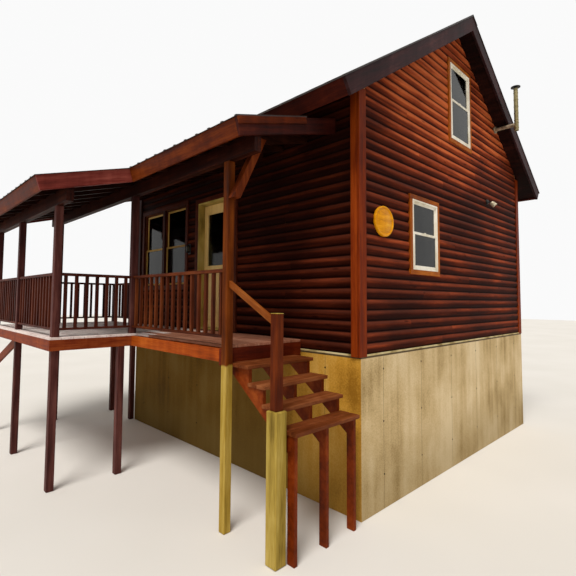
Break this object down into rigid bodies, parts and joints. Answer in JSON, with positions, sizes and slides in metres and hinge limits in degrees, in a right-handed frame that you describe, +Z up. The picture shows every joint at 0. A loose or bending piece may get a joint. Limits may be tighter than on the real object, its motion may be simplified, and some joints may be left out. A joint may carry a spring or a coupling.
{
  "type": "log cabin",
  "caption": "Gabled log cabin on a tall concrete foundation, with an L-shaped covered porch deck, stairs down its side wall, windows, a stovepipe and an inward-swinging porch door.",
  "frame": {"origin": "centre of the cabin's overall footprint, roof edges included, at the lowest ground line", "axes": "+Z up; the gable wall with the two windows faces -Y; the porch side wall with the door faces -X"},
  "size_m": [8.753, 7.458, 6.9731],
  "materials": {
    "concrete": "bare poured concrete with form lines and yellow staining",
    "cream_strip": "pale cream sill strip",
    "log_siding": "red-brown stained log siding",
    "floor_wood": "plain boards",
    "brown_wood": "weathered brown painted boards",
    "roof_wood": "dark unpainted roof boards",
    "roof_metal": "dark brown ribbed sheet",
    "white_vinyl": "white",
    "glass": "clear, reflecting the trees",
    "orange_trim": "orange-brown stained trim",
    "door_tan": "tan paint",
    "plaque_wood": "varnished yellow-orange wood",
    "lamp": "pale lamp on a dark mount",
    "dark_metal": "black",
    "galvanised": "dull grey galvanised",
    "deck_wood": "greyish pink weathered boards",
    "orange_post": "orange-brown painted posts, bare yellow-green wood below",
    "rail_wood": "brown painted rails"
  },
  "bodies": {
    "cabin": {"braces": "brown_wood", "corner_boards": "brown_wood", "deck_boards": "deck_wood", "deck_frame": "brown_wood", "door_frame": "door_tan", "eave_fascias": "brown_wood", "flood_light": "lamp", "floor": "floor_wood", "foundation": "concrete", "gable_wall_back": "log_siding", "gable_wall_front": "log_siding", "gable_window_frames": "white_vinyl", "handrail": "rail_wood", "loft_floor": "floor_wood", "plaque": "plaque_wood", "porch_beams": "roof_wood", "porch_fascias": "brown_wood", "porch_posts": "orange_post", "porch_rafters": "roof_wood", "porch_roof_deck": "roof_wood", "porch_roof_metal": "roof_metal", "porch_wall_far": "log_siding", "porch_wall_near": "log_siding", "porch_wall_over": "log_siding", "porch_window_frame": "orange_trim", "railing_narrow": "rail_wood", "railing_wide": "rail_wood", "rake_fascias": "brown_wood", "ridge_cap": "roof_metal", "roof_deck_east": "roof_wood", "roof_deck_west": "roof_wood", "roof_metal_east": "roof_metal", "roof_metal_west": "roof_metal", "side_wall": "log_siding", "sill_strip": "cream_strip", "soffits": "roof_wood", "stair_newel": "orange_post", "stair_stringers": "brown_wood", "stair_treads": "deck_wood", "stovepipe": "galvanised", "wall_lamp": "dark_metal", "window_glass": "glass", "window_trim": "orange_trim"},
    "door": {"door_leaf": "door_tan", "door_glass": "glass"}
  },
  "joints": [
    {"name": "door_hinge", "type": "hinge", "parent": "cabin", "child": "door", "pos_m": [-1.5645, -0.016, 2.976], "axis": [0, 0, 1], "range_deg": [0, 95]}
  ]
}
